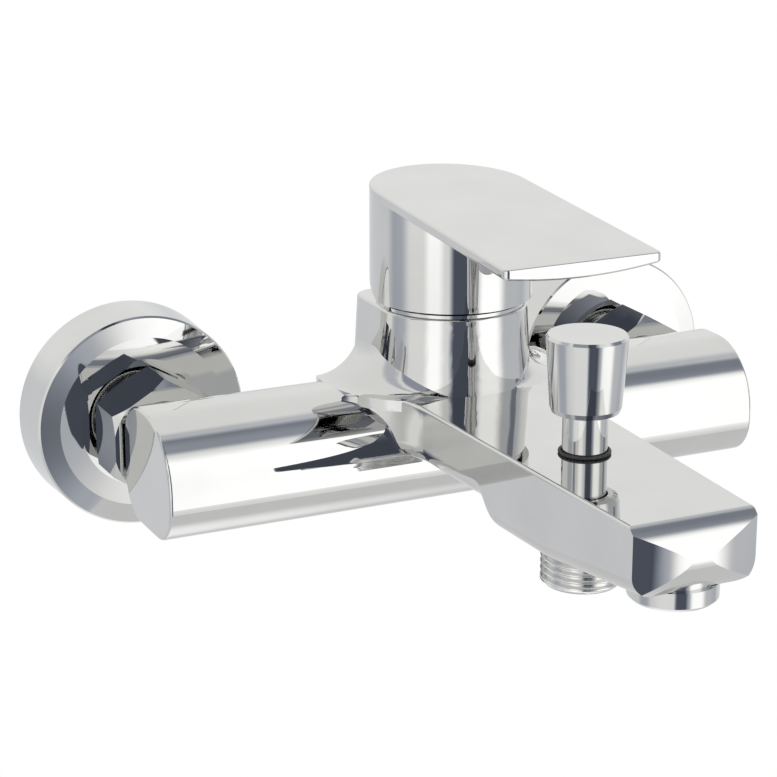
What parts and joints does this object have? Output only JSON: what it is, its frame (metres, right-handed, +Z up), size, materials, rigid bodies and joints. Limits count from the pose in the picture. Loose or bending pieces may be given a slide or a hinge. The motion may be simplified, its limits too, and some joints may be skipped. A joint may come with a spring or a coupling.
{
  "type": "bath faucet",
  "caption": "Wall mounted bath faucet with a lever on top of a ceramic cartridge, a flat spout, a pull-up shower diverter, union nuts and wall rosettes.",
  "frame": {"origin": "on the finished wall, midway between the axes of the two inlets", "axes": "+X along the wall to the user's right, +Y into the wall, +Z up; the spout points to -Y"},
  "size_m": [0.211, 0.2025, 0.0995],
  "materials": {
    "polished_chrome": "polished",
    "brass": "machined",
    "nut_brass": "machined",
    "outlet_thread": "plated thread",
    "seal_rubber": "matte",
    "stainless_steel": "turned",
    "ceramic": "lapped ceramic",
    "cartridge_plastic": "moulded",
    "flow_plastic": "moulded",
    "index_plastic": "moulded"
  },
  "bodies": {
    "body": {"aerator_housing": "polished_chrome", "aerator_insert": "flow_plastic", "aerator_screen": "flow_plastic", "aerator_washer": "seal_rubber", "body_casting": "polished_chrome", "bonnet_seal": "seal_rubber", "cartridge_base": "cartridge_plastic", "cartridge_dome": "polished_chrome", "cartridge_housing": "cartridge_plastic", "cartridge_nut": "nut_brass", "cartridge_port_seals": "seal_rubber", "diverter_bonnet": "polished_chrome", "diverter_spring": "stainless_steel", "eccentric_union_left": "brass", "eccentric_union_right": "brass", "fixed_disc": "ceramic", "gland_plug": "brass", "inlet_nipple_left": "brass", "inlet_nipple_right": "brass", "rod_seal": "seal_rubber", "rosette_left": "polished_chrome", "rosette_right": "polished_chrome", "shower_outlet_nipple": "outlet_thread", "strainer_left": "stainless_steel", "strainer_right": "stainless_steel", "trim_ring": "polished_chrome", "union_washer_left": "seal_rubber", "union_washer_right": "seal_rubber"},
    "union_nut_left": {"union_nut_left": "polished_chrome"},
    "union_nut_right": {"union_nut_right": "polished_chrome"},
    "rotor": {"cartridge_rotor": "cartridge_plastic", "lever_pin": "stainless_steel", "rotor_seal": "seal_rubber"},
    "lever": {"cartridge_lever": "stainless_steel", "handle": "polished_chrome", "handle_grub_screw": "stainless_steel", "index_plug": "index_plastic"},
    "disc": {"moving_disc": "ceramic", "disc_carrier": "cartridge_plastic"},
    "diverter": {"diverter_rod": "stainless_steel", "diverter_knob": "polished_chrome", "diverter_poppet": "brass", "poppet_seals": "seal_rubber", "poppet_nut": "brass"}
  },
  "joints": [
    {"name": "union_nut_left_turn", "type": "hinge", "parent": "body", "child": "union_nut_left", "pos_m": [-0.075, -0.028, 0], "axis": [0, -1, 0], "continuous": true},
    {"name": "union_nut_right_turn", "type": "hinge", "parent": "body", "child": "union_nut_right", "pos_m": [0.075, -0.028, 0], "axis": [0, -1, 0], "continuous": true},
    {"name": "handle_swivel", "type": "hinge", "parent": "body", "child": "rotor", "pos_m": [0, -0.056, 0.026], "axis": [0, 0, 1], "range_deg": [-50, 50]},
    {"name": "handle_lift", "type": "hinge", "parent": "rotor", "child": "lever", "pos_m": [0, -0.056, 0.026], "axis": [-1, 0, 0], "range_deg": [0, 25]},
    {"name": "disc_shift", "type": "slide", "parent": "rotor", "child": "disc", "axis": [0, -1, 0], "range_m": [0, 0.0031]},
    {"name": "diverter_pull", "type": "slide", "parent": "body", "child": "diverter", "axis": [0, 0, 1], "range_m": [0, 0.0068], "stiffness_N_per_m": 250, "deforming": ["diverter_spring"]}
  ],
  "couplings": [
    {"joint": "disc_shift", "follows": "handle_lift", "m_per_rad": 0.007}
  ]
}
